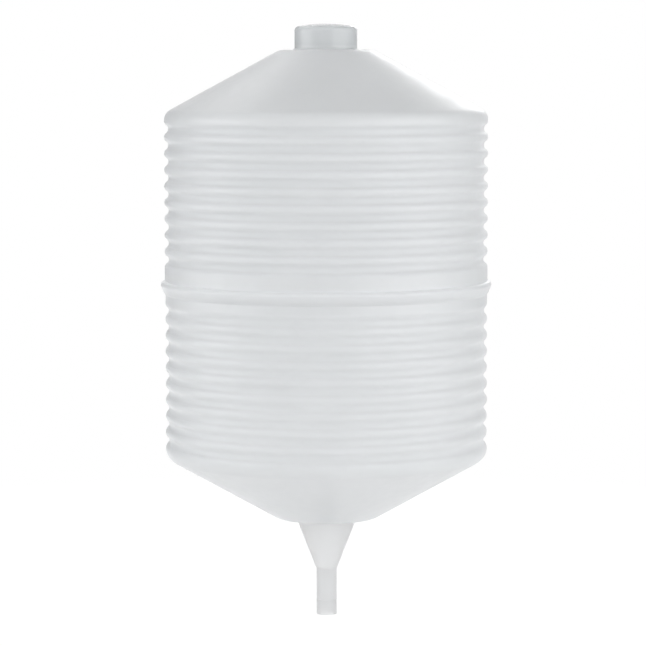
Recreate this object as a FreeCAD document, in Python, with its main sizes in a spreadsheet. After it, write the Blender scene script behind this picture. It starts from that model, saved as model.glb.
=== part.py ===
"""Closed, ribbed Buchner-type filter funnel in natural polyethylene.

The vessel is two ribbed shells. The upper one stands on the lower one at a round bead, over a
sealing ring, and a perforated plate lies across the joint with a filter paper held down on it.
Liquid goes in at the screw-capped neck and leaves through a conical drain stem, which is what a
flask stopper holds. Millimetres, +Z up, the origin at the middle of the stem's lower end.
"""
import FreeCAD, Part
import math
import os

import Sketcher

DIMENSIONS = {
    # ribbed shells
    "wall": 2.0,
    "rib_count": 9,
    "rib_pitch": 11.07,
    "shoulder_radius": 14.0,
    "upper_crest_radius": 110.0,
    "upper_first_crest": 239.7,
    "upper_rib_depth": 2.9,
    "upper_corner_radius": 8.6,
    "upper_cone_angle": 28.5,
    "neck_plane": 387.0,
    "lower_crest_radius": 109.8,
    "lower_last_crest": 215.8,
    "lower_rib_depth": 2.3,
    "lower_corner_radius": 9.6,
    "lower_cone_angle": 29.6,
    "outlet_plane": 67.2,
    # joint between the shells
    "joint_height": 223.0,
    "joint_clearance": 0.3,
    "spigot_height": 12.0,
    "bead_radius": 112.75,
    "bead_top": 230.6,
    "bead_round": 2.75,
    "bead_foot_radius": 110.8,
    "rim_lip_radius": 110.7,
    "rim_lip_height": 1.4,
    "seam_gap": 0.15,
    "seat_gap": 0.1,
    "groove_radius": 110.4,
    "groove_depth": 2.5,
    "body_seal_section": 1.2,
    # plate, paper and what holds them
    "support_height": 217.2,
    "support_thickness": 3.0,
    "support_inner_radius": 97.0,
    "plate_seal_thickness": 1.5,
    "plate_seal_inner_radius": 98.5,
    "plate_seal_outer_radius": 104.5,
    "plate_radius": 104.8,
    "plate_thickness": 6.0,
    "plate_edge_chamfer": 0.8,
    "hole_radius": 1.6,
    "hole_ring_step": 12.0,
    "hole_ring_count": 7,
    "paper_radius": 103.0,
    "paper_thickness": 0.4,
    "ring_inner_radius": 97.0,
    "ring_outer_radius": 104.6,
    "ring_height": 5.0,
    "ring_edge_round": 1.5,
    # neck and cap
    "neck_radius": 17.6,
    "neck_bore_radius": 15.1,
    "neck_height": 13.1,
    "collar_height": 1.0,
    "collar_land": 0.2,
    "thread_pitch": 4.2,
    "thread_turns": 1.25,
    "thread_start": 4.1,
    "thread_height": 1.15,
    "thread_root_width": 2.0,
    "thread_crest_width": 1.0,
    "thread_root_sink": 0.3,
    "cap_thread_drop": 1.65,
    "cap_radius": 21.3,
    "cap_bore_radius": 19.1,
    "cap_gap": 0.3,
    "cap_edge_round": 3.2,
    "cap_crown_edge": 403.1,
    "cap_crown_rise": 1.5,
    "liner_radius": 18.9,
    "liner_thickness": 1.5,
    # drain stem
    "stem_radius": 6.9,
    "stem_bore_radius": 5.4,
    "stem_length": 32.5,
    "stem_edge": 0.5,
    "stem_cone_foot_radius": 7.25,
    "stem_cone_top_radius": 20.9,
    "stem_cone_mouth_radius": 20.0,
    "flange_radius": 28.0,
    "flange_thickness": 2.0,
}

doc = FreeCAD.newDocument("buchner_funnel")


def make_sheet():
    """Write each driving dimension and its name into the document's spreadsheet."""
    sheet = doc.addObject("Spreadsheet::Sheet", "dims")
    for row, (name, value) in enumerate(DIMENSIONS.items(), start=1):
        sheet.set(f"A{row}", name)
        sheet.set(f"B{row}", str(value))
        sheet.setAlias(f"B{row}", name)
    doc.recompute()
    return sheet


sheet = make_sheet()


def value(expression):
    """The present value of an expression over the sheet, as a plain number."""
    result = sheet.evalExpression(expression)
    return getattr(result, "Value", result)


# --- drawing and revolving ----------------------------------------------------------------------

def new_body(label, height=None):
    """A body with its own label, raised along Z to the given height."""
    body = doc.addObject("PartDesign::Body", label)
    body.Label = label
    if height is not None:
        body.setExpression("Placement.Base.z", height)
    return body


def origin_feature(body, role):
    """The body's own origin plane or axis with this role."""
    return next(item for item in body.Origin.OriginFeatures if item.Role == role)


def new_sketch(body, name, role="XZ_Plane"):
    """A sketch on one of the body's own origin planes."""
    sketch = body.newObject("Sketcher::SketchObject", name)
    sketch.AttachmentSupport = (origin_feature(body, role), [""])
    sketch.MapMode = "FlatFace"
    return sketch


def arc_between(start, end, radius, left):
    """The arc from start to end that turns left (anticlockwise) or right."""
    middle = (start + end) * 0.5
    chord = end - start
    reach = math.sqrt(max(radius ** 2 - (chord.Length / 2) ** 2, 0.0))
    across = FreeCAD.Vector(-chord.y, chord.x, 0).normalize()
    centre = middle + across * (reach if left else -reach)
    first, last = (start, end) if left else (end, start)
    first_angle = math.atan2(first.y - centre.y, first.x - centre.x)
    last_angle = math.atan2(last.y - centre.y, last.x - centre.x)
    circle = Part.Circle(centre, FreeCAD.Vector(0, 0, 1), radius)
    return Part.ArcOfCircle(circle, first_angle, last_angle)


def bind(sketch, constraint, name, expression):
    """Add a dimension to the sketch and tie it to the sheet."""
    index = sketch.addConstraint(constraint)
    sketch.renameConstraint(index, name)
    sketch.setExpression(f"Constraints.{name}", expression)


def draw_outline(sketch, corners):
    """Draw a closed outline whose corners are tied to the sheet.

    Each corner is (x, y) with a straight edge to the next corner, or (x, y, radius, turn) with
    an arc that turns "left" or "right". All are expressions.
    """
    points = [FreeCAD.Vector(value(corner[0]), value(corner[1]), 0) for corner in corners]
    ends = []
    for index, corner in enumerate(corners):
        start = points[index]
        end = points[(index + 1) % len(points)]
        if len(corner) == 2:
            edge = sketch.addGeometry(Part.LineSegment(start, end), False)
            ends.append((edge, 1, 2))
            continue
        left = corner[3] == "left"
        edge = sketch.addGeometry(arc_between(start, end, value(corner[2]), left), False)
        ends.append((edge, 1, 2) if left else (edge, 2, 1))
    for index, (edge, first, last) in enumerate(ends):
        following, following_first, _ = ends[(index + 1) % len(ends)]
        sketch.addConstraint(Sketcher.Constraint("Coincident", edge, last, following, following_first))
    for index, corner in enumerate(corners):
        edge, first, _ = ends[index]
        point = points[index]
        if corner[0] == "0":
            sketch.addConstraint(Sketcher.Constraint("PointOnObject", edge, first, -2))
        else:
            across = Sketcher.Constraint("DistanceX", -1, 1, edge, first, point.x)
            bind(sketch, across, f"across_{index}", corner[0])
        if corner[1] == "0":
            sketch.addConstraint(Sketcher.Constraint("PointOnObject", edge, first, -1))
        else:
            along = Sketcher.Constraint("DistanceY", -1, 1, edge, first, point.y)
            bind(sketch, along, f"along_{index}", corner[1])
        if len(corner) == 4:
            bend = Sketcher.Constraint("Radius", edge, value(corner[2]))
            bind(sketch, bend, f"radius_{index}", corner[2])


def revolve(body, name, corners):
    """Turn an outline about Z into a ring or shell of the body."""
    sketch = new_sketch(body, name + "_outline")
    draw_outline(sketch, corners)
    turned = body.newObject("PartDesign::Revolution", name)
    turned.Profile = sketch
    turned.ReferenceAxis = (sketch, ["V_Axis"])
    turned.Angle = 360
    sketch.Visibility = False
    doc.recompute()
    return turned


def add_thread(body, name, start, root, height, inward):
    """Add a right-hand ridge round Z whose section starts at this height above the body's origin.

    The ridge stands outward from root on a neck, or inward from root in a cap.
    """
    way = "-" if inward else "+"
    back = "+" if inward else "-"
    half_root = "dims.thread_root_width / 2"
    half_crest = "dims.thread_crest_width / 2"
    buried = f"{root} {back} dims.thread_root_sink"
    crest = f"{root} {way} {height}"
    sketch = new_sketch(body, name + "_section", "YZ_Plane")
    draw_outline(sketch, [
        (buried, f"{start} - {half_root}"),
        (crest, f"{start} - {half_crest}"),
        (crest, f"{start} + {half_crest}"),
        (buried, f"{start} + {half_root}"),
    ])
    ridge = body.newObject("PartDesign::AdditiveHelix", name)
    ridge.Profile = sketch
    ridge.ReferenceAxis = (sketch, ["V_Axis"])
    ridge.Mode = "pitch-turns-angle"
    ridge.setExpression("Pitch", "dims.thread_pitch")
    ridge.setExpression("Turns", "dims.thread_turns")
    sketch.Visibility = False
    doc.recompute()
    return ridge


# --- ribbed shells ------------------------------------------------------------------------------

def rib_outline(side, foot):
    """One pitch of ribbed wall, from crest to crest: four arcs outside and four offset inside."""
    crest = f"dims.{side}_crest_radius"
    pitch = "dims.rib_pitch"
    depth = f"dims.{side}_rib_depth"
    bend = f"(({depth} / 2)^2 + ({pitch} / 4)^2) / {depth}"
    wall = "dims.wall"
    flank_cos = f"(1 - {depth} / 2 / ({bend}))"
    flank_sin = f"({pitch} / 4 / ({bend}))"
    flank = f"{crest} - {depth} / 2"
    inner_flank = f"{flank} - {wall} * {flank_cos}"
    tight = f"{bend} - {wall}"
    wide = f"{bend} + {wall}"
    return [
        (crest, foot, bend, "left"),
        (flank, f"{foot} + {pitch} / 4", bend, "right"),
        (f"{crest} - {depth}", f"{foot} + {pitch} / 2", bend, "right"),
        (flank, f"{foot} + {pitch} * 3 / 4", bend, "left"),
        (crest, f"{foot} + {pitch}"),
        (f"{crest} - {wall}", f"{foot} + {pitch}", tight, "right"),
        (inner_flank, f"{foot} + {pitch} * 3 / 4 + {wall} * {flank_sin}", wide, "left"),
        (f"{crest} - {depth} - {wall}", f"{foot} + {pitch} / 2", wide, "left"),
        (inner_flank, f"{foot} + {pitch} / 4 - {wall} * {flank_sin}", tight, "right"),
        (f"{crest} - {wall}", foot),
    ]


def add_ribs(body, side, foot):
    """Stack the ribs of a shell: one pitch of wall, repeated upwards."""
    rib = revolve(body, f"{side}_rib", rib_outline(side, foot))
    ribs = body.newObject("PartDesign::LinearPattern", f"{side}_ribs")
    ribs.Originals = [rib]
    ribs.Direction = (origin_feature(body, "Z_Axis"), [""])
    ribs.setExpression("Length", "dims.rib_pitch * (dims.rib_count - 1)")
    ribs.setExpression("Occurrences", "dims.rib_count")
    body.Tip = ribs
    doc.recompute()


def cone_points(side, crest_height, plane, way):
    """Where a shell's end cone meets its rounded corner and its rounded shoulder.

    The points are given for the outer wall and for the inner wall, which share their centres.
    way is "+" for a cone that rises to its plane and "-" for one that falls to it.
    """
    back = "-" if way == "+" else "+"
    slope = f"dims.{side}_cone_angle * 1 deg"
    corner = f"dims.{side}_corner_radius"
    shoulder = "dims.shoulder_radius"
    corner_centre = f"dims.{side}_crest_radius - {corner}"
    run = f"({shoulder} - {corner}) * sin({slope})"
    rise = f"abs({plane} - ({crest_height})) - {shoulder} - ({corner} - {shoulder}) * cos({slope})"
    shoulder_centre = f"{corner_centre} - {run} - ({rise}) / tan({slope})"
    points = {}
    for wall, inset in (("outer", "0"), ("inner", "dims.wall")):
        corner_arc = f"({corner} - {inset})"
        shoulder_arc = f"({shoulder} - {inset})"
        points[wall] = {
            "corner_arc": corner_arc,
            "shoulder_arc": shoulder_arc,
            "corner": (f"{corner_centre} + {corner_arc} * sin({slope})",
                       f"{crest_height} {way} {corner_arc} * cos({slope})"),
            "shoulder": (f"{shoulder_centre} + {shoulder_arc} * sin({slope})",
                         f"{plane} {back} {shoulder} {way} {shoulder_arc} * cos({slope})"),
            "flat": (shoulder_centre, f"{plane} {back} {inset}"),
        }
    return points


def make_lower_section():
    """The lower shell: outlet plane, cone, ribs, and the spigot that the upper shell fits over."""
    body = new_body("lower_section")
    first_crest = "(dims.lower_last_crest - dims.rib_count * dims.rib_pitch)"
    crest = "dims.lower_crest_radius"
    add_ribs(body, "lower", first_crest)
    cone = cone_points("lower", first_crest, "dims.outlet_plane", "-")
    outer = cone["outer"]
    inner = cone["inner"]
    outlet = "dims.stem_cone_top_radius + dims.seat_gap"
    revolve(body, "lower_cone", [
        (outlet, "dims.outlet_plane"),
        outer["flat"] + (outer["shoulder_arc"], "left"),
        outer["shoulder"],
        outer["corner"] + (outer["corner_arc"], "left"),
        (crest, first_crest),
        (f"{crest} - dims.wall", first_crest, inner["corner_arc"], "right"),
        inner["corner"],
        inner["shoulder"] + (inner["shoulder_arc"], "right"),
        inner["flat"],
        (outlet, "dims.outlet_plane + dims.wall"),
    ])
    spigot = "dims.upper_crest_radius - dims.wall - dims.joint_clearance"
    spigot_bore = f"{spigot} - dims.wall"
    spigot_top = "dims.joint_height + dims.spigot_height"
    revolve(body, "lower_rim", [
        (crest, "dims.lower_last_crest"),
        (crest, "dims.joint_height - dims.rim_lip_height"),
        ("dims.rim_lip_radius", "dims.joint_height"),
        (spigot, "dims.joint_height"),
        (spigot, spigot_top),
        (spigot_bore, spigot_top),
        (spigot_bore, "dims.support_height"),
        (f"{crest} - dims.wall", "dims.lower_last_crest"),
    ])
    return body


def make_upper_section():
    """The upper shell: bead and socket, ribs, cone, threaded neck and the low collar round it."""
    body = new_body("upper_section")
    last_crest = "(dims.upper_first_crest + dims.rib_count * dims.rib_pitch)"
    crest = "dims.upper_crest_radius"
    add_ribs(body, "upper", "dims.upper_first_crest")
    cone = cone_points("upper", last_crest, "dims.neck_plane", "+")
    outer = cone["outer"]
    inner = cone["inner"]
    neck_top = "dims.neck_plane + dims.neck_height"
    collar = "(dims.cap_radius + dims.cap_gap)"
    collar_top = "dims.neck_plane + dims.collar_height"
    revolve(body, "upper_cone", [
        (f"{crest} - dims.wall", last_crest),
        (crest, last_crest, outer["corner_arc"], "left"),
        outer["corner"],
        outer["shoulder"] + (outer["shoulder_arc"], "left"),
        outer["flat"],
        (f"{collar} + dims.collar_land + dims.collar_height", "dims.neck_plane",
         "dims.collar_height", "right"),
        (f"{collar} + dims.collar_land", collar_top),
        (collar, collar_top),
        (collar, "dims.neck_plane"),
        ("dims.neck_radius", "dims.neck_plane"),
        ("dims.neck_radius", neck_top),
        ("dims.neck_bore_radius", neck_top),
        ("dims.neck_bore_radius", "dims.neck_plane - dims.wall"),
        inner["flat"] + (inner["shoulder_arc"], "right"),
        inner["shoulder"],
        inner["corner"] + (inner["corner_arc"], "right"),
    ])
    socket = f"{crest} - dims.wall"
    foot = "dims.joint_height + dims.seam_gap"
    bead_middle = "(dims.bead_top - dims.bead_round)"
    groove_top = "dims.joint_height + dims.groove_depth"
    revolve(body, "upper_rim", [
        ("dims.bead_foot_radius", foot),
        ("dims.bead_radius", bead_middle, "dims.bead_round", "left"),
        (crest, "dims.bead_top"),
        (crest, "dims.upper_first_crest"),
        (socket, "dims.upper_first_crest"),
        (socket, groove_top),
        ("dims.groove_radius", groove_top),
        ("dims.groove_radius", foot),
    ])
    add_thread(body, "neck_thread", "dims.neck_plane + dims.thread_start",
               "dims.neck_radius", "dims.thread_height", False)
    return body


# --- what lies across the joint -----------------------------------------------------------------

def make_flat_ring(label, height, inner, outer, thickness):
    """A plain flat ring that lies at this height."""
    body = new_body(label, height)
    revolve(body, label + "_section", [
        (inner, "0"),
        (outer, "0"),
        (outer, thickness),
        (inner, thickness),
    ])
    return body


def make_support_ring():
    """The ring welded inside the lower shell's rim, which the plate stands on."""
    rim_bore = "dims.upper_crest_radius - 2 * dims.wall - dims.joint_clearance"
    return make_flat_ring("support_ring", "dims.support_height", "dims.support_inner_radius",
                          rim_bore, "dims.support_thickness")


def make_plate_seal():
    """The flat seal under the plate's edge."""
    return make_flat_ring("plate_seal", "dims.support_height + dims.support_thickness",
                          "dims.plate_seal_inner_radius", "dims.plate_seal_outer_radius",
                          "dims.plate_seal_thickness")


def plate_underside():
    """The height of the plate's lower face."""
    return "dims.support_height + dims.support_thickness + dims.plate_seal_thickness"


def cut_hole_ring(body, ring):
    """Drill one ring of the plate: six holes for each step from the centre, evenly spread."""
    sketch = new_sketch(body, f"hole_{ring}_circle", "XY_Plane")
    angle = 180 / (6 * ring)
    reach = f"dims.hole_ring_step * {ring}"
    centre = FreeCAD.Vector(value(reach) * math.cos(math.radians(angle)),
                            value(reach) * math.sin(math.radians(angle)), 0)
    circle = Part.Circle(centre, FreeCAD.Vector(0, 0, 1), value("dims.hole_radius"))
    hole = sketch.addGeometry(circle, False)
    bind(sketch, Sketcher.Constraint("Radius", hole, value("dims.hole_radius")),
         "hole_size", "dims.hole_radius")
    bind(sketch, Sketcher.Constraint("DistanceX", -1, 1, hole, 3, centre.x),
         "hole_across", f"{reach} * cos({angle} deg)")
    bind(sketch, Sketcher.Constraint("DistanceY", -1, 1, hole, 3, centre.y),
         "hole_along", f"{reach} * sin({angle} deg)")
    drilled = body.newObject("PartDesign::Pocket", f"hole_{ring}")
    drilled.Profile = sketch
    drilled.Type = "ThroughAll"
    drilled.Reversed = True
    sketch.Visibility = False
    doc.recompute()
    holes = body.newObject("PartDesign::PolarPattern", f"holes_{ring}")
    holes.Originals = [drilled]
    holes.Axis = (origin_feature(body, "Z_Axis"), [""])
    holes.Angle = 360
    holes.Occurrences = 6 * ring
    body.Tip = holes
    doc.recompute()


def make_filter_plate():
    """The perforated plate, chamfered at its lower edge so that it drops into the rim."""
    body = new_body("filter_plate", plate_underside())
    edge = "dims.plate_edge_chamfer"
    revolve(body, "plate_disc", [
        ("0", "0"),
        (f"dims.plate_radius - {edge}", "0"),
        ("dims.plate_radius", edge),
        ("dims.plate_radius", "dims.plate_thickness"),
        ("0", "dims.plate_thickness"),
    ])
    for ring in range(1, int(value("dims.hole_ring_count")) + 1):
        cut_hole_ring(body, ring)
    return body


def make_disc(label, height, radius, thickness):
    """A plain disc that lies at this height."""
    body = new_body(label, height)
    revolve(body, label + "_section", [
        ("0", "0"),
        (radius, "0"),
        (radius, thickness),
        ("0", thickness),
    ])
    return body


def make_filter_paper():
    """The filter paper on the plate."""
    return make_disc("filter_paper", f"{plate_underside()} + dims.plate_thickness",
                     "dims.paper_radius", "dims.paper_thickness")


def make_paper_ring():
    """The loose ring that keeps the paper's edge down, with rounded upper edges."""
    height = f"{plate_underside()} + dims.plate_thickness + dims.paper_thickness"
    body = new_body("paper_ring", height)
    edge = "dims.ring_edge_round"
    revolve(body, "paper_ring_section", [
        ("dims.ring_inner_radius", "0"),
        ("dims.ring_outer_radius", "0"),
        ("dims.ring_outer_radius", f"dims.ring_height - {edge}", edge, "left"),
        (f"dims.ring_outer_radius - {edge}", "dims.ring_height"),
        (f"dims.ring_inner_radius + {edge}", "dims.ring_height", edge, "left"),
        ("dims.ring_inner_radius", f"dims.ring_height - {edge}"),
    ])
    return body


def make_body_seal():
    """The round-section ring round the spigot, under the upper shell's bead."""
    spigot = "dims.upper_crest_radius - dims.wall - dims.joint_clearance"
    ring = doc.addObject("Part::Torus", "body_seal")
    ring.Label = "body_seal"
    ring.setExpression("Radius1", f"{spigot} + dims.seat_gap + dims.body_seal_section")
    ring.setExpression("Radius2", "dims.body_seal_section")
    ring.setExpression("Placement.Base.z", "dims.joint_height + dims.body_seal_section")
    doc.recompute()
    return ring


# --- cap ----------------------------------------------------------------------------------------

def make_cap_liner():
    """The soft disc that the cap presses on the neck."""
    return make_disc("cap_liner", "dims.neck_plane + dims.neck_height",
                     "dims.liner_radius", "dims.liner_thickness")


def make_screw_cap():
    """The smooth cap: a plain skirt, a rounded edge, a low crown and an inside thread."""
    foot = "(dims.neck_plane + dims.cap_gap)"
    body = new_body("screw_cap", foot)
    ceiling = f"dims.neck_plane + dims.neck_height + dims.liner_thickness - {foot}"
    edge_top = f"(dims.cap_crown_edge - {foot})"
    edge = "dims.cap_edge_round"
    crown = "(dims.cap_radius - dims.cap_edge_round)"
    crown_bend = f"({crown}^2 + dims.cap_crown_rise^2) / (2 * dims.cap_crown_rise)"
    revolve(body, "cap_shell", [
        ("dims.cap_bore_radius", "0"),
        ("dims.cap_radius", "0"),
        ("dims.cap_radius", f"{edge_top} - {edge}", edge, "left"),
        (crown, edge_top, crown_bend, "left"),
        ("0", f"{edge_top} + dims.cap_crown_rise"),
        ("0", ceiling),
        ("dims.cap_bore_radius", ceiling),
    ])
    start = f"dims.neck_plane + dims.thread_start - dims.cap_thread_drop - {foot}"
    add_thread(body, "cap_thread", start, "dims.cap_bore_radius", "dims.thread_height", True)
    return body


# --- drain stem ---------------------------------------------------------------------------------

def make_drain_stem():
    """The outlet: a flange welded inside the lower shell, a cone, and a straight tube."""
    body = new_body("drain_stem")
    plane = "dims.outlet_plane"
    flange_foot = "dims.outlet_plane + dims.wall"
    flange_top = f"{flange_foot} + dims.flange_thickness"
    edge = "dims.stem_edge"
    revolve(body, "stem_shell", [
        ("dims.stem_bore_radius", "0"),
        (f"dims.stem_radius - {edge}", "0", edge, "left"),
        ("dims.stem_radius", edge),
        ("dims.stem_radius", "dims.stem_length"),
        ("dims.stem_cone_foot_radius", "dims.stem_length"),
        ("dims.stem_cone_top_radius", plane),
        ("dims.stem_cone_top_radius", flange_foot),
        ("dims.flange_radius", flange_foot),
        ("dims.flange_radius", flange_top),
        ("dims.stem_cone_mouth_radius", flange_top),
        ("dims.stem_bore_radius", f"dims.stem_length + {edge}"),
    ])
    return body


# --- the whole object ---------------------------------------------------------------------------

def check_document(pieces):
    """Stop if anything in the document failed or a piece is empty or broken."""
    for item in doc.Objects:
        if "Invalid" in item.State or "Error" in item.State:
            raise RuntimeError(f"{item.Name} failed: {item.State}")
    for piece in pieces:
        shape = piece.Shape
        if shape.isNull() or not shape.isValid() or len(shape.Solids) != 1:
            raise RuntimeError(f"{piece.Label} is not one sound solid")


def main():
    """Make every piece, check the document and write one STEP file for each piece."""
    pieces = [
        make_lower_section(),
        make_drain_stem(),
        make_support_ring(),
        make_plate_seal(),
        make_body_seal(),
        make_filter_plate(),
        make_filter_paper(),
        make_paper_ring(),
        make_upper_section(),
        make_cap_liner(),
        make_screw_cap(),
    ]
    doc.recompute()
    check_document(pieces)
    os.makedirs("parts", exist_ok=True)
    for piece in pieces:
        piece.Shape.exportStep(os.path.join("parts", piece.Label + ".step"))
        box = piece.Shape.BoundBox
        print(f"{piece.Label:15s} z {box.ZMin:7.2f} to {box.ZMax:7.2f}, "
              f"width {box.XLength:7.2f}, volume {piece.Shape.Volume / 1000:8.2f} cm3")


main()
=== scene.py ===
"""Looks of a closed, ribbed filter funnel: milky polyethylene shells, a clearer drain stem,
a smooth screw cap, and the seals, plate and paper that lie inside."""

import math

import bpy
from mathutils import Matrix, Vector, noise


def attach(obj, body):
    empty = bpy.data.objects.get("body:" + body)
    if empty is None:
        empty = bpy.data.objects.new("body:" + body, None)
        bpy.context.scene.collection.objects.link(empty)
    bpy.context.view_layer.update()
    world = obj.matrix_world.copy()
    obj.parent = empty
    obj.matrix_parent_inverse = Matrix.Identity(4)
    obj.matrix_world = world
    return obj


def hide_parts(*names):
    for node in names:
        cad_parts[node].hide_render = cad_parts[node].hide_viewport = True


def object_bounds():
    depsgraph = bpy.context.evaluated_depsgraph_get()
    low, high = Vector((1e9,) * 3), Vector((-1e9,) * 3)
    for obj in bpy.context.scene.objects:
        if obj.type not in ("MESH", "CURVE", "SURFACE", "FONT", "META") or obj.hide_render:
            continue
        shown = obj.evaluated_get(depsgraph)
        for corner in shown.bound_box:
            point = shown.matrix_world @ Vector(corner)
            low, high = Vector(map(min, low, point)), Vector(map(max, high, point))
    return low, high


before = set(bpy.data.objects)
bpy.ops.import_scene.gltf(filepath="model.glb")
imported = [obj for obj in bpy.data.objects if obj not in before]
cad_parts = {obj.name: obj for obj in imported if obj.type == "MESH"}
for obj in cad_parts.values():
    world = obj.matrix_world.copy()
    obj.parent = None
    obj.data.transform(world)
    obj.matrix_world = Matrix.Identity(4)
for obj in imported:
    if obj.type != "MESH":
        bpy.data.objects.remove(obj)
cad_low, cad_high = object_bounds()

MM = 0.001

# --- sizes shared by the pieces -----------------------------------------------------------------
WALL = 2.0 * MM
RIB_COUNT = 9
RIB_PITCH = 11.07 * MM
SHOULDER_RADIUS = 14.0 * MM
EDGE_ROUND = 0.35 * MM
TURN_STEPS = 176
SHELL_STRETCH = 3.5 * MM
SHELL_SWELL = 0.16 * MM
SHELL_GRAIN = 90 * MM


# --- outlines: lists of (radius, height) --------------------------------------------------------

def arc(centre, radius, start, end, steps):
    """Points of an arc in the outline plane, angles in radians from the outward direction."""
    points = []
    for index in range(steps + 1):
        angle = start + (end - start) * index / steps
        points.append((centre[0] + radius * math.cos(angle), centre[1] + radius * math.sin(angle)))
    return points


def rib_wall(crest, depth, first_crest):
    """The outer face of the ribs, from the first crest up to the last, as equal arcs."""
    bend = ((depth / 2) ** 2 + (RIB_PITCH / 4) ** 2) / depth
    turn = math.asin(RIB_PITCH / 4 / bend)
    points = []
    for rib in range(RIB_COUNT):
        foot = first_crest + rib * RIB_PITCH
        points += arc((crest - bend, foot), bend, 0.0, turn, 5)[:-1]
        points += arc((crest - depth + bend, foot + RIB_PITCH / 2), bend,
                      math.pi + turn, math.pi - turn, 9)[:-1]
        points += arc((crest - bend, foot + RIB_PITCH), bend, -turn, 0.0, 5)[:-1]
    points.append((crest, first_crest + RIB_COUNT * RIB_PITCH))
    return points


def cone_wall(crest, crest_height, corner_radius, angle, plane):
    """A rounded corner, a straight cone and a rounded shoulder, from a crest to a flat plane.

    A cone that falls to its plane has a negative angle.
    """
    way = math.copysign(1.0, angle)
    slope = abs(angle)
    corner_centre = (crest - corner_radius, crest_height)
    corner = arc(corner_centre, corner_radius, 0.0, way * (math.pi / 2 - slope), 8)
    end_of_cone = plane - way * SHOULDER_RADIUS * (1 - math.cos(slope))
    run = abs(end_of_cone - corner[-1][1]) / math.tan(slope)
    shoulder_centre = (corner[-1][0] - run - SHOULDER_RADIUS * math.sin(slope),
                       plane - way * SHOULDER_RADIUS)
    shoulder = arc(shoulder_centre, SHOULDER_RADIUS, way * (math.pi / 2 - slope),
                   way * math.pi / 2, 8)
    return corner + shoulder


def inset(points, distance):
    """A smooth outline moved inwards by the wall's thickness."""
    moved = []
    for index, (radius, height) in enumerate(points):
        before = points[max(index - 1, 0)]
        after = points[min(index + 1, len(points) - 1)]
        across = after[0] - before[0]
        along = after[1] - before[1]
        length = math.hypot(across, along)
        moved.append((radius - distance * along / length, height + distance * across / length))
    return moved


def eased(corners):
    """A closed outline of sharp corners with each corner rounded.

    Each corner is (radius, height) or (radius, height, rounding).
    """
    points = []
    count = len(corners)
    for index, corner in enumerate(corners):
        rounding = corner[2] if len(corner) == 3 else EDGE_ROUND
        here = Vector(corner[:2])
        to_last = Vector(corners[index - 1][:2]) - here
        to_next = Vector(corners[(index + 1) % count][:2]) - here
        cut = min(rounding, to_last.length * 0.45, to_next.length * 0.45)
        first = here + to_last.normalized() * cut
        last = here + to_next.normalized() * cut
        for step in range(5):
            share = step / 4
            points.append(tuple(first * (1 - share) ** 2 + here * 2 * share * (1 - share)
                                + last * share ** 2))
    return points


def divided(points, longest, closed=True):
    """The outline with its long straight stretches cut up, and a point close to each end."""
    result = []
    count = len(points)
    stretches = count if closed else count - 1
    guard = 0.25 * MM
    for index in range(stretches):
        here = Vector(points[index])
        there = Vector(points[(index + 1) % count])
        length = (there - here).length
        result.append(tuple(here))
        if length < longest:
            continue
        inner_length = length - 2 * guard
        pieces = max(1, math.ceil(inner_length / longest))
        for step in range(pieces + 1):
            share = (guard + inner_length * step / pieces) / length
            result.append(tuple(here.lerp(there, share)))
    if not closed:
        result.append(points[-1])
    return result


# --- turned meshes ------------------------------------------------------------------------------

def turned(name, outline, closed=True, shape=None, steps=TURN_STEPS):
    """A smooth mesh made by turning an outline about Z.

    An open outline starts and ends on the axis. shape(radius, angle, height) returns the radius
    after small irregularities are added.
    """
    vertices = []
    faces = []
    rows = []
    for radius, height in outline:
        if radius < 1e-7:
            rows.append([len(vertices)])
            vertices.append((0.0, 0.0, height))
            continue
        row = []
        for step in range(steps):
            angle = 2 * math.pi * step / steps
            reach = shape(radius, angle, height) if shape else radius
            row.append(len(vertices))
            vertices.append((reach * math.cos(angle), reach * math.sin(angle), height))
        rows.append(row)
    pairs = list(zip(rows, rows[1:]))
    if closed:
        pairs.append((rows[-1], rows[0]))
    for low, high in pairs:
        for step in range(steps):
            after = (step + 1) % steps
            if len(low) == 1:
                faces.append((low[0], high[after], high[step]))
            elif len(high) == 1:
                faces.append((low[step], low[after], high[0]))
            else:
                faces.append((low[step], low[after], high[after], high[step]))
    mesh = bpy.data.meshes.new(name)
    mesh.from_pydata(vertices, [], faces)
    mesh.shade_smooth()
    mesh.validate()
    piece = bpy.data.objects.new(name, mesh)
    bpy.context.scene.collection.objects.link(piece)
    return piece


def uneven_wall(amount, grain, seed):
    """A shape function: the slow in-and-out of a moulded wall, the same through its thickness."""
    def shape(radius, angle, height):
        spot = Vector((math.cos(angle), math.sin(angle), height / grain)) * 2.2
        swell = noise.noise(spot + Vector((seed, 0.0, 0.0)))
        swell += 0.4 * noise.noise(spot * 2.7 + Vector((0.0, seed, 0.0)))
        return radius + amount * swell
    return shape


# --- thread -------------------------------------------------------------------------------------

THREAD_PITCH = 4.2 * MM
THREAD_TURNS = 1.25
THREAD_ROOT = 2.0 * MM
THREAD_CREST = 1.0 * MM
THREAD_FIRST_TURN = 0.25
THREAD_RUN_OUT = 0.03


def ridge(angle, height, start):
    """How far up the thread's section a point of the wall lies, 0 on the wall, 1 on the crest."""
    best = 0.0
    for turn in range(-1, 3):
        travel = angle / (2 * math.pi) + turn - THREAD_FIRST_TURN
        if not 0.0 <= travel <= THREAD_TURNS:
            continue
        off = abs(height - (start + THREAD_PITCH * travel))
        flank = (THREAD_ROOT / 2 - off) / (THREAD_ROOT / 2 - THREAD_CREST / 2)
        run_out = min(travel, THREAD_TURNS - travel) / THREAD_RUN_OUT
        best = max(best, min(1.0, flank, run_out))
    return best


# --- the pieces ---------------------------------------------------------------------------------

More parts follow.
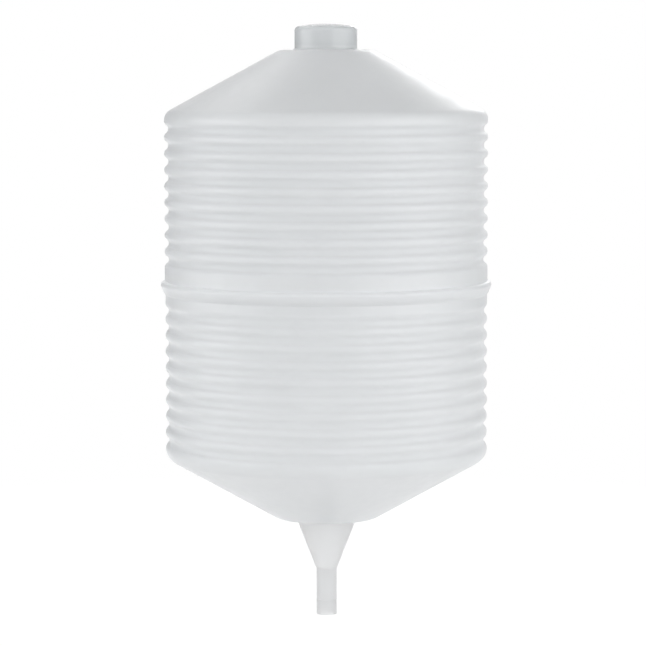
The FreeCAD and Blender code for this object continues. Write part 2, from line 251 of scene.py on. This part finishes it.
UPPER_CREST = 110.0 * MM
UPPER_FIRST_CREST = 239.7 * MM
UPPER_DEPTH = 2.9 * MM
UPPER_CORNER = 8.6 * MM
UPPER_ANGLE = math.radians(28.5)
NECK_PLANE = 387.0 * MM
NECK_RADIUS = 17.6 * MM
NECK_BORE = 15.1 * MM
NECK_HEIGHT = 13.1 * MM
NECK_THREAD_START = NECK_PLANE + 4.1 * MM
NECK_THREAD_HEIGHT = 1.15 * MM
COLLAR_RADIUS = 21.6 * MM
COLLAR_LAND = 0.2 * MM
COLLAR_HEIGHT = 1.0 * MM
JOINT_HEIGHT = 223.0 * MM
BEAD_FOOT = JOINT_HEIGHT + 0.03 * MM
BEAD_ROUND = 2.75 * MM
BEAD_TOP = 230.6 * MM
BEAD_FOOT_RADIUS = 110.8 * MM
GROOVE_RADIUS = 110.4 * MM
GROOVE_TOP = JOINT_HEIGHT + 2.5 * MM


def bead_outline():
    """The bead's outer face: a taper out to a crease, then a rounded top.

    A second point close to the foot keeps the shading of its edge narrow.
    """
    middle = BEAD_TOP - BEAD_ROUND
    top_face = arc((UPPER_CREST, middle), BEAD_ROUND, 0.0, math.pi / 2 * 0.93, 8)
    foot = (BEAD_FOOT_RADIUS, BEAD_FOOT)
    foot_guard = tuple(Vector(foot).lerp(Vector(top_face[0]), 0.01))
    return [foot, foot_guard] + top_face + [(UPPER_CREST + 0.05 * MM, BEAD_TOP + 0.15 * MM)]


def collar_outline():
    """The low collar round the neck: a hollow flare up from the shoulder, a land and a step."""
    land = COLLAR_RADIUS + COLLAR_LAND
    top = NECK_PLANE + COLLAR_HEIGHT
    flare = arc((land + COLLAR_HEIGHT, top), COLLAR_HEIGHT, -math.pi / 2, -math.pi, 5)
    return flare + [(COLLAR_RADIUS, top), (COLLAR_RADIUS, NECK_PLANE)]


def make_upper_section():
    """The upper shell with bead, socket, ribs, cone, collar and threaded neck."""
    last_crest = UPPER_FIRST_CREST + RIB_COUNT * RIB_PITCH
    outer = rib_wall(UPPER_CREST, UPPER_DEPTH, UPPER_FIRST_CREST)[:-1]
    outer += cone_wall(UPPER_CREST, last_crest, UPPER_CORNER, UPPER_ANGLE, NECK_PLANE)
    inner = inset(outer, WALL)
    neck_top = NECK_PLANE + NECK_HEIGHT
    root = 0.9 * MM
    neck = arc((NECK_RADIUS + root, NECK_PLANE + root), root, -math.pi / 2, -math.pi, 4)
    rows = 44
    foot = NECK_PLANE + root
    for row in range(1, rows):
        neck.append((NECK_RADIUS, foot + (neck_top - EDGE_ROUND - foot) * row / rows))
    lip = arc((NECK_RADIUS - EDGE_ROUND, neck_top - EDGE_ROUND), EDGE_ROUND, 0.0, math.pi / 2, 3)
    lip += arc((NECK_BORE + EDGE_ROUND, neck_top - EDGE_ROUND), EDGE_ROUND,
               math.pi / 2, math.pi, 3)
    throat = arc((NECK_BORE + root, NECK_PLANE - WALL + root), root, math.pi, math.pi * 1.5, 4)
    rim = [
        (UPPER_CREST - WALL, GROOVE_TOP + 0.3 * MM),
        (UPPER_CREST - WALL + 0.3 * MM, GROOVE_TOP),
        (GROOVE_RADIUS, GROOVE_TOP),
        (GROOVE_RADIUS, BEAD_FOOT + 0.05 * MM),
        (GROOVE_RADIUS + 0.15 * MM, BEAD_FOOT),
    ]
    outline = bead_outline() + outer + collar_outline() + neck + lip + throat + inner[::-1] + rim
    wall = uneven_wall(SHELL_SWELL, SHELL_GRAIN, 3.1)

    def shape(radius, angle, height):
        if height < NECK_PLANE + root or radius < NECK_RADIUS - 0.01 * MM:
            share = min(1.0, max(0.0, (radius - NECK_RADIUS) / (40 * MM)))
            return radius + share * (wall(radius, angle, height) - radius)
        return radius + NECK_THREAD_HEIGHT * ridge(angle, height, NECK_THREAD_START)

    return turned("upper_shell", divided(outline, SHELL_STRETCH), shape=shape)


LOWER_CREST = 109.8 * MM
LOWER_LAST_CREST = 215.8 * MM
LOWER_DEPTH = 2.3 * MM
LOWER_CORNER = 9.6 * MM
RIM_LIP_RADIUS = 110.7 * MM
RIM_LIP_HEIGHT = 1.4 * MM
LOWER_ANGLE = math.radians(29.6)
OUTLET_PLANE = 67.2 * MM
OUTLET_RADIUS = 21.0 * MM
SUPPORT_HEIGHT = 217.2 * MM
SPIGOT_RADIUS = 107.7 * MM
SPIGOT_BORE = 105.7 * MM
SPIGOT_TOP = JOINT_HEIGHT + 12.0 * MM


def make_lower_section():
    """The lower shell with outlet face, cone, ribs, band and spigot."""
    first_crest = LOWER_LAST_CREST - RIB_COUNT * RIB_PITCH
    cone = cone_wall(LOWER_CREST, first_crest, LOWER_CORNER, -LOWER_ANGLE, OUTLET_PLANE)[::-1]
    outer = cone[:-1] + rib_wall(LOWER_CREST, LOWER_DEPTH, first_crest)
    inner = inset(outer, WALL)
    band = eased([
        (LOWER_CREST, JOINT_HEIGHT - RIM_LIP_HEIGHT),
        (RIM_LIP_RADIUS, JOINT_HEIGHT, 0.04 * MM),
        (SPIGOT_RADIUS, JOINT_HEIGHT),
        (SPIGOT_RADIUS, SPIGOT_TOP),
        (SPIGOT_BORE, SPIGOT_TOP),
        (SPIGOT_BORE, SUPPORT_HEIGHT),
        (LOWER_CREST - WALL, LOWER_LAST_CREST),
    ])[:-5]
    outlet = [(OUTLET_RADIUS, OUTLET_PLANE + WALL), (OUTLET_RADIUS, OUTLET_PLANE)]
    outline = outer + band + inner[::-1] + outlet
    wall = uneven_wall(SHELL_SWELL, SHELL_GRAIN, 7.7)

    def shape(radius, angle, height):
        share = min(1.0, max(0.0, (radius - OUTLET_RADIUS) / (30 * MM)))
        return radius + share * (wall(radius, angle, height) - radius)

    return turned("lower_shell", divided(outline, SHELL_STRETCH), shape=shape)


STEM_RADIUS = 6.9 * MM
STEM_BORE = 5.4 * MM
STEM_LENGTH = 32.5 * MM
STEM_CONE_FOOT = 7.25 * MM
STEM_CONE_TOP = 20.9 * MM
STEM_CONE_MOUTH = 20.0 * MM
STEM_RING = 10.3 * MM
FLANGE_RADIUS = 28.0 * MM


def make_stem():
    """The drain stem: flange, cone and tube, with a low moulded ring near the tip."""
    flange_foot = OUTLET_PLANE + WALL
    flange_top = flange_foot + 2.0 * MM
    ring = STEM_RING
    outline = eased([
        (STEM_BORE, 0.0),
        (STEM_RADIUS, 0.0, 0.6 * MM),
        (STEM_RADIUS, ring - 0.45 * MM),
        (STEM_RADIUS + 0.2 * MM, ring),
        (STEM_RADIUS, ring + 0.45 * MM),
        (STEM_RADIUS, STEM_LENGTH, 0.15 * MM),
        (STEM_CONE_FOOT, STEM_LENGTH, 0.2 * MM),
        (STEM_CONE_TOP, OUTLET_PLANE, 0.6 * MM),
        (STEM_CONE_TOP, flange_foot, 0.1 * MM),
        (FLANGE_RADIUS, flange_foot),
        (FLANGE_RADIUS, flange_top),
        (STEM_CONE_MOUTH, flange_top, 1.2 * MM),
        (STEM_BORE, STEM_LENGTH + 0.5 * MM, 1.2 * MM),
    ])
    wall = uneven_wall(0.05 * MM, 30 * MM, 1.4)
    return turned("stem", divided(outline, 2.5 * MM), shape=wall, steps=112)


CAP_RADIUS = 21.3 * MM
CAP_BORE = 19.1 * MM
CAP_FOOT = NECK_PLANE + 0.05 * MM
CAP_EDGE_TOP = 403.1 * MM
CAP_EDGE = 3.2 * MM
CAP_CROWN_RISE = 1.5 * MM
CAP_CEILING = 401.6 * MM
CAP_THREAD_START = NECK_THREAD_START - 1.65 * MM
CAP_THREAD_HEIGHT = 1.15 * MM


def make_cap():
    """The smooth screw cap, from the middle of its crown round the skirt to its ceiling."""
    crown = CAP_RADIUS - CAP_EDGE
    outline = []
    rings = 10
    for ring in range(rings):
        reach = crown * ring / rings
        outline.append((reach, CAP_EDGE_TOP + CAP_CROWN_RISE * (1 - (reach / crown) ** 2)))
    outline += arc((crown, CAP_EDGE_TOP - CAP_EDGE), CAP_EDGE, math.pi / 2, 0.0, 9)
    outline += [
        (CAP_RADIUS, CAP_FOOT + 1.2 * MM),
        (CAP_RADIUS, CAP_FOOT + 0.5 * MM),
    ]
    outline += arc((CAP_RADIUS - 0.2 * MM, CAP_FOOT + 0.2 * MM), 0.2 * MM, 0.0, -math.pi / 2, 3)
    outline += arc((CAP_BORE + 0.4 * MM, CAP_FOOT + 0.4 * MM), 0.4 * MM,
                   -math.pi / 2, -math.pi, 4)
    rows = 40
    low = CAP_FOOT + 0.5 * MM
    high = CAP_CEILING - 0.6 * MM
    for row in range(rows + 1):
        outline.append((CAP_BORE, low + (high - low) * row / rows))
    outline += arc((CAP_BORE - 0.5 * MM, CAP_CEILING - 0.5 * MM), 0.5 * MM,
                   0.15, math.pi / 2, 4)
    outline += [(12.0 * MM, CAP_CEILING), (0.0, CAP_CEILING)]
    inside = 0.02 * MM

    def shape(radius, angle, height):
        if abs(radius - CAP_BORE) > inside:
            return radius
        return radius - CAP_THREAD_HEIGHT * ridge(angle, height, CAP_THREAD_START)

    return turned("cap", divided(outline, 2.5 * MM, closed=False), closed=False, shape=shape,
                  steps=144)


# --- materials ----------------------------------------------------------------------------------

def combine(tree, operation, first, second):
    """One step of arithmetic on two values."""
    node = tree.nodes.new("ShaderNodeMath")
    node.operation = operation
    tree.links.new(first, node.inputs[0])
    tree.links.new(second, node.inputs[1])
    return node.outputs["Value"]


class Nodes:
    """A material's node tree with short calls for the nodes used here."""

    def __init__(self, name):
        self.material = bpy.data.materials.new(name)
        self.material.use_nodes = True
        self.tree = self.material.node_tree
        self.shader = self.tree.nodes["Principled BSDF"]
        self.place = self.tree.nodes.new("ShaderNodeTexCoord").outputs["Object"]

    def link(self, source, target):
        self.tree.links.new(source, target)

    def feed(self, socket, source):
        """A value that changes over the surface, into one of the shader's sockets."""
        self.link(source, self.shader.inputs[socket])

    def stretch(self, scale):
        """Object coordinates stretched by a scale for each axis."""
        node = self.tree.nodes.new("ShaderNodeMapping")
        node.inputs["Scale"].default_value = scale
        self.link(self.place, node.inputs["Vector"])
        return node.outputs["Vector"]

    def noise(self, scale, detail=3.0, roughness=0.5, place=None):
        """Noise of this many features per metre."""
        node = self.tree.nodes.new("ShaderNodeTexNoise")
        node.inputs["Scale"].default_value = scale
        node.inputs["Detail"].default_value = detail
        node.inputs["Roughness"].default_value = roughness
        self.link(place or self.place, node.inputs["Vector"])
        return node.outputs["Fac"]

    def height(self):
        """The height above the stem's tip."""
        node = self.tree.nodes.new("ShaderNodeSeparateXYZ")
        self.link(self.place, node.inputs["Vector"])
        return node.outputs["Z"]

    def range(self, source, low, high, start=0.3, end=0.7):
        """A value moved from one range to another."""
        node = self.tree.nodes.new("ShaderNodeMapRange")
        node.inputs["From Min"].default_value = start
        node.inputs["From Max"].default_value = end
        node.inputs["To Min"].default_value = low
        node.inputs["To Max"].default_value = high
        self.link(source, node.inputs["Value"])
        return node.outputs["Result"]

    def larger(self, first, second):
        """The larger of two values."""
        return combine(self.tree, "MAXIMUM", first, second)

    def mixed(self, source, first, second):
        """A mix of two colours by a value. Each colour is a constant or another node's output."""
        node = self.tree.nodes.new("ShaderNodeMix")
        node.data_type = "RGBA"
        self.link(source, node.inputs[0])
        for colour, target in ((first, node.inputs[6]), (second, node.inputs[7])):
            if isinstance(colour, tuple):
                target.default_value = (*colour, 1.0)
            else:
                self.link(colour, target)
        return node.outputs[2]

    def clouded(self, source, low, high):
        """A colour that drifts between two constant ones by a noise."""
        return self.mixed(self.range(source, 0.0, 1.0), low, high)

    def bump(self, source, strength, distance, under=None):
        """A bump on the shader, over another bump if one is given."""
        node = self.tree.nodes.new("ShaderNodeBump")
        node.inputs["Strength"].default_value = strength
        node.inputs["Distance"].default_value = distance
        self.link(source, node.inputs["Height"])
        if under:
            self.link(under, node.inputs["Normal"])
        return node.outputs["Normal"]

    def set(self, **values):
        """Constant values of the shader's own sockets."""
        for socket, value in values.items():
            self.shader.inputs[socket.replace("_", " ")].default_value = value


RIM_FADE = 2.5 * MM


def natural_polyethylene(name, low, high, scatter, rim, gloss, foot=None):
    """Milky blow-moulded polyethylene: cloudy thickness, faint flow lines and a soft skin.

    Light spreads in the wall, but not from the hidden faces at the height of the rim. The foot
    colour is a painted glow: the base colour is painted paler just above the rim, to lighten the
    shade there.
    """
    nodes = Nodes(name)
    cloud = nodes.noise(14.0, detail=3.0)
    flow = nodes.noise(30.0, detail=2.0, place=nodes.stretch((5.0, 5.0, 0.5)))
    skin = nodes.noise(650.0, detail=2.0)
    slow = nodes.noise(70.0, detail=2.0)
    height = nodes.height()
    colour = nodes.clouded(cloud, low, high)
    if foot:
        # painted glow: the base colour is painted paler just above the rim, lightening the shade at
        # the foot
        edge = nodes.range(height, 1.0, 0.0, rim + 0.5 * RIM_FADE, rim + 1.5 * RIM_FADE)
        colour = nodes.mixed(edge, colour, foot)
    nodes.feed("Base Color", colour)
    nodes.feed("Roughness", nodes.range(flow, gloss - 0.04, gloss + 0.05))
    under = nodes.bump(slow, 0.3, 0.4 * MM)
    nodes.feed("Normal", nodes.bump(skin, 0.1, 0.04 * MM, under))
    above = nodes.range(height, 0.0, scatter, rim, rim + RIM_FADE)
    below = nodes.range(height, scatter, 0.0, rim - RIM_FADE, rim)
    nodes.feed("Subsurface Weight", nodes.larger(above, below))
    nodes.set(IOR=1.54, Subsurface_Radius=(1.0, 1.0, 1.0), Subsurface_Scale=6.0 * MM)
    nodes.shader.subsurface_method = "BURLEY"
    return nodes.material


def clear_plastic(name):
    """The stem's clearer plastic: a bright cone, a greyer tube, and a greyer tip below the ring."""
    nodes = Nodes(name)
    cloud = nodes.noise(60.0, detail=2.0)
    skin = nodes.noise(500.0, detail=2.0)
    height = nodes.height()
    tip = nodes.range(height, 0.0, 1.0, STEM_RING - 0.3 * MM, STEM_RING + 0.3 * MM)
    cone = nodes.range(height, 0.0, 1.0, STEM_LENGTH - 0.5 * MM, STEM_LENGTH + 1.5 * MM)
    tube_colour = nodes.mixed(tip, (0.87, 0.875, 0.88), (0.9, 0.905, 0.91))
    cone_colour = nodes.mixed(cloud, (0.95, 0.955, 0.96), (0.98, 0.985, 0.99))
    nodes.feed("Base Color", nodes.mixed(cone, tube_colour, cone_colour))
    nodes.feed("Roughness", nodes.range(cloud, 0.29, 0.35))
    nodes.feed("Normal", nodes.bump(skin, 0.05, 0.01 * MM))
    nodes.set(IOR=1.45, Transmission_Weight=0.8)
    return nodes.material


def white_plastic(name):
    """Machined and moulded white polyethylene, for the plate and the rings."""
    nodes = Nodes(name)
    cloud = nodes.noise(40.0, detail=4.0)
    skin = nodes.noise(1500.0, detail=3.0)
    nodes.feed("Base Color", nodes.clouded(cloud, (0.85, 0.85, 0.84), (0.9, 0.9, 0.89)))
    nodes.feed("Roughness", nodes.range(skin, 0.4, 0.55))
    nodes.feed("Normal", nodes.bump(skin, 0.2, 0.05 * MM))
    nodes.set(Subsurface_Weight=0.15, Subsurface_Scale=2.0 * MM)
    return nodes.material


def silicone(name):
    """Soft matt seal rubber."""
    nodes = Nodes(name)
    skin = nodes.noise(900.0, detail=3.0)
    cloud = nodes.noise(50.0)
    nodes.feed("Base Color", nodes.clouded(cloud, (0.72, 0.73, 0.72), (0.8, 0.8, 0.79)))
    nodes.feed("Roughness", nodes.range(skin, 0.55, 0.7))
    nodes.feed("Normal", nodes.bump(skin, 0.15, 0.05 * MM))
    return nodes.material


def filter_paper(name):
    """Uncoated filter paper: matted fibres."""
    nodes = Nodes(name)
    fibres = nodes.noise(900.0, detail=6.0, roughness=0.7)
    matting = nodes.noise(220.0, detail=4.0, roughness=0.6)
    nodes.feed("Base Color", nodes.clouded(matting, (0.9, 0.895, 0.87), (0.96, 0.955, 0.935)))
    under = nodes.bump(matting, 0.35, 0.12 * MM)
    nodes.feed("Normal", nodes.bump(fibres, 0.5, 0.08 * MM, under))
    nodes.set(Roughness=0.95, Specular_IOR_Level=0.15)
    return nodes.material


def foam(name):
    """The cap liner's closed-cell foam sheet."""
    nodes = Nodes(name)
    cells = nodes.noise(2500.0, detail=3.0)
    cloud = nodes.noise(120.0)
    nodes.feed("Base Color", nodes.clouded(cloud, (0.88, 0.88, 0.87), (0.94, 0.94, 0.93)))
    nodes.feed("Normal", nodes.bump(cells, 0.4, 0.05 * MM))
    nodes.set(Roughness=0.7)
    return nodes.material


def wear(piece, material):
    """Put one material on a visible piece or on a CAD node."""
    piece.data.materials.clear()
    piece.data.materials.append(material)


# --- stage --------------------------------------------------------------------------------------

# Strengths of the painted light, by direction round the object, overhead and near the object
FRONT_LIGHT = 0.88
LEFT_CORNER_LIGHT = 0.3
RIGHT_CORNER_LIGHT = 0.5
TOP_LIGHT = 0.45
NEAR_FLOOR_LIGHT = 1.045
# Where those lights fade into each other: parts of a unit direction, or metres on the near floor
CORNER_EDGE = (-0.3, 0.3)
BACK_SKEW = 0.12
BACK_EDGE = (0.9, 0.96)
FRONT_EDGE = (0.6, 0.05)
NEAR_FLOOR_EDGE = (0.6, 1.2)
SWEEP_EDGE = (0.96, 0.985)
CEILING_LEAN = 0.35
CEILING_SLANT = 0.25
CEILING_EDGE = (0.88, 0.98)
HIGH_WALL_EDGE = (0.35, 0.65)
FLOOR_HALF_WIDTH = 12.0
FLOOR_DROP = 2.0 * MM
CAMERA_DISTANCE = 1.952
CAMERA_HEIGHT = 0.3774
CAMERA_ASIDE = -0.002
CAMERA_PITCH = math.radians(5.16)
CAMERA_ROLL = math.radians(0.08)
CAMERA_LENS = 159.8
CAMERA_SENSOR = 36.0
CAMERA_REACH = 50.0


def fade(tree, source, start, end, low, high):
    """A value that goes smoothly from one level to another between two ends of its source."""
    node = tree.nodes.new("ShaderNodeMapRange")
    node.interpolation_type = "SMOOTHSTEP"
    node.inputs["From Min"].default_value = start
    node.inputs["From Max"].default_value = end
    node.inputs["To Min"].default_value = low
    node.inputs["To Max"].default_value = high
    tree.links.new(source, node.inputs["Value"])
    return node.outputs["Result"]


def lean(tree, source, across, amount):
    """One value plus a share of another."""
    node = tree.nodes.new("ShaderNodeMath")
    node.operation = "MULTIPLY_ADD"
    tree.links.new(across, node.inputs[0])
    node.inputs[1].default_value = amount
    tree.links.new(source, node.inputs[2])
    return node.outputs["Value"]


def heading(tree, place):
    """How far a direction or place lies across and behind, as a unit vector on the floor."""
    level = tree.nodes.new("ShaderNodeVectorMath")
    level.operation = "MULTIPLY"
    level.inputs[1].default_value = (1.0, 1.0, 0.0)
    tree.links.new(place, level.inputs[0])
    unit = tree.nodes.new("ShaderNodeVectorMath")
    unit.operation = "NORMALIZE"
    tree.links.new(level.outputs["Vector"], unit.inputs[0])
    parts = tree.nodes.new("ShaderNodeSeparateXYZ")
    tree.links.new(unit.outputs["Vector"], parts.inputs["Vector"])
    return parts.outputs["X"], parts.outputs["Y"]


def ring_of_light(tree, place):
    """Brightness by direction round the object: full behind, dim at both back corners."""
    across, back = heading(tree, place)
    skewed = lean(tree, back, across, BACK_SKEW)
    corners = fade(tree, across, *CORNER_EDGE, LEFT_CORNER_LIGHT, RIGHT_CORNER_LIGHT)
    behind = fade(tree, skewed, *BACK_EDGE, 0.0, 1.0)
    in_front = fade(tree, back, *FRONT_EDGE, 0.0, FRONT_LIGHT)
    return combine(tree, "MAXIMUM", corners, combine(tree, "MAXIMUM", behind, in_front))


def floor_light(tree, place):
    """The floor's strength: bright near the object and in a wedge, and like the walls elsewhere.

    The wedge opens from the camera's place, and keeps the floor behind the object white in the
    photograph's view. It is fixed in the scene and does not move with the camera.
    """
    reach = tree.nodes.new("ShaderNodeVectorMath")
    reach.operation = "LENGTH"
    tree.links.new(place, reach.inputs[0])
    near = fade(tree, reach.outputs["Value"], *NEAR_FLOOR_EDGE, NEAR_FLOOR_LIGHT, 0.0)
    from_camera = tree.nodes.new("ShaderNodeVectorMath")
    from_camera.operation = "ADD"
    from_camera.inputs[1].default_value = (0.0, CAMERA_DISTANCE, 0.0)
    tree.links.new(place, from_camera.inputs[0])
    ahead = heading(tree, from_camera.outputs["Vector"])[1]
    sweep = fade(tree, ahead, *SWEEP_EDGE, 0.0, 1.0)
    bright = combine(tree, "MAXIMUM", near, sweep)
    return combine(tree, "MAXIMUM", bright, ring_of_light(tree, place))


def make_floor():
    """A wide floor just under the stem's tip that glows by itself."""
    half = FLOOR_HALF_WIDTH
    mesh = bpy.data.meshes.new("floor")
    corners = [(across * half, along * half, -FLOOR_DROP)
               for across, along in ((-1, -1), (1, -1), (1, 1), (-1, 1))]
    mesh.from_pydata(corners, [], [(0, 1, 2, 3)])
    floor = bpy.data.objects.new("floor", mesh)
    bpy.context.scene.collection.objects.link(floor)
    material = bpy.data.materials.new("floor_white")
    material.use_nodes = True
    tree = material.node_tree
    tree.nodes.clear()
    place = tree.nodes.new("ShaderNodeTexCoord").outputs["Object"]
    light = tree.nodes.new("ShaderNodeEmission")
    light.inputs["Color"].default_value = (1.0, 1.0, 1.0, 1.0)
    tree.links.new(floor_light(tree, place), light.inputs["Strength"])
    out = tree.nodes.new("ShaderNodeOutputMaterial")
    tree.links.new(light.outputs["Emission"], out.inputs["Surface"])
    floor.data.materials.append(material)


def make_world():
    """Walls lit by direction, and a dim patch of ceiling above, towards the back and right."""
    world = bpy.data.worlds.new("studio")
    world.use_nodes = True
    bpy.context.scene.world = world
    tree = world.node_tree
    place = tree.nodes.new("ShaderNodeTexCoord").outputs["Generated"]
    parts = tree.nodes.new("ShaderNodeSeparateXYZ")
    tree.links.new(place, parts.inputs["Vector"])
    leaning = lean(tree, parts.outputs["Z"], parts.outputs["Y"], CEILING_LEAN)
    slanted = lean(tree, leaning, parts.outputs["X"], CEILING_SLANT)
    ceiling = fade(tree, slanted, *CEILING_EDGE, 1.0, TOP_LIGHT)
    high_wall = fade(tree, parts.outputs["Z"], *HIGH_WALL_EDGE, 0.0, 1.0)
    walls = combine(tree, "MAXIMUM", high_wall, ring_of_light(tree, place))
    strength = combine(tree, "MULTIPLY", ceiling, walls)
    background = tree.nodes["Background"]
    background.inputs["Color"].default_value = (1.0, 1.0, 1.0, 1.0)
    tree.links.new(strength, background.inputs["Strength"])


# Each light's name, azimuth and elevation in degrees, distance, width and height in metres, watts
SOFTBOXES = (
    ("left_box", -77, 5, 1.6, 1.4, 1.2, 9),
    ("right_box", 55, 5, 1.6, 1.9, 1.2, 11),
    ("back_box", 168, 20, 3.0, 0.7, 1.0, 5),
    ("high_box", -156, 42, 2.6, 1.0, 0.8, 1.7),
)


def softbox(name, azimuth, elevation, distance, width, height, power):
    """A rectangular light aimed at the object's middle; azimuth 0 is the camera's side."""
    aim = Vector((0.0, 0.0, (cad_low.z + cad_high.z) / 2))
    turn = math.radians(azimuth)
    rise = math.radians(elevation)
    way = Vector((math.sin(turn) * math.cos(rise), -math.cos(turn) * math.cos(rise),
                  math.sin(rise)))
    data = bpy.data.lights.new(name, "AREA")
    data.shape = "RECTANGLE"
    data.size = width
    data.size_y = height
    data.energy = power
    light = bpy.data.objects.new(name, data)
    light.location = aim + way * distance
    light.rotation_mode = "QUATERNION"
    light.rotation_quaternion = way.to_track_quat("Z", "Y")
    bpy.context.scene.collection.objects.link(light)


def make_camera():
    """The camera, level with the top of the funnel and looking slightly down."""
    data = bpy.data.cameras.new("camera")
    data.lens = CAMERA_LENS
    data.sensor_width = CAMERA_SENSOR
    data.clip_end = CAMERA_REACH
    camera = bpy.data.objects.new("camera", data)
    camera.location = (CAMERA_ASIDE, -CAMERA_DISTANCE, CAMERA_HEIGHT)
    camera.rotation_euler = (math.pi / 2 - CAMERA_PITCH, CAMERA_ROLL, 0.0)
    bpy.context.scene.collection.objects.link(camera)
    bpy.context.scene.camera = camera


# --- assembly -----------------------------------------------------------------------------------

def dress():
    """Make the visible pieces and give each its material and body; give the kept CAD nodes their
    materials.
    """
    shell = natural_polyethylene("natural_polyethylene", (0.585, 0.60, 0.612),
                                 (0.61, 0.623, 0.636), 1.0, JOINT_HEIGHT, 0.33)
    # The cap's foot colour is a painted glow, painted paler just above the shoulder to lighten the
    # shade there.
    cap_plastic = natural_polyethylene("cap_polyethylene", (0.516, 0.536, 0.549),
                                       (0.539, 0.559, 0.571), 0.8, CAP_FOOT, 0.22,
                                       foot=(0.63, 0.65, 0.66))
    pieces = (
        (make_upper_section(), "upper", "upper_section", "natural_polyethylene", shell),
        (make_lower_section(), "vessel", "lower_section", "natural_polyethylene", shell),
        (make_stem(), "vessel", "drain_stem", "clear_stem_plastic",
         clear_plastic("clear_stem_plastic")),
        (make_cap(), "cap", "screw_cap", "cap_plastic", cap_plastic),
    )
    for piece, body, node, slot, material in pieces:
        wear(piece, material)
        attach(piece, body)
        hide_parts(node)
    white = white_plastic("white_polyethylene")
    seal = silicone("silicone")
    kept = {
        "support_ring": white,
        "filter_plate": white,
        "paper_ring": white,
        "plate_seal": seal,
        "body_seal": seal,
        "filter_paper": filter_paper("filter_paper"),
        "cap_liner": foam("liner_foam"),
    }
    for node, material in kept.items():
        wear(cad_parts[node], material)


dress()
make_floor()
make_world()
for light in SOFTBOXES:
    softbox(*light)
make_camera()
bpy.context.scene.view_settings.view_transform = "Standard"
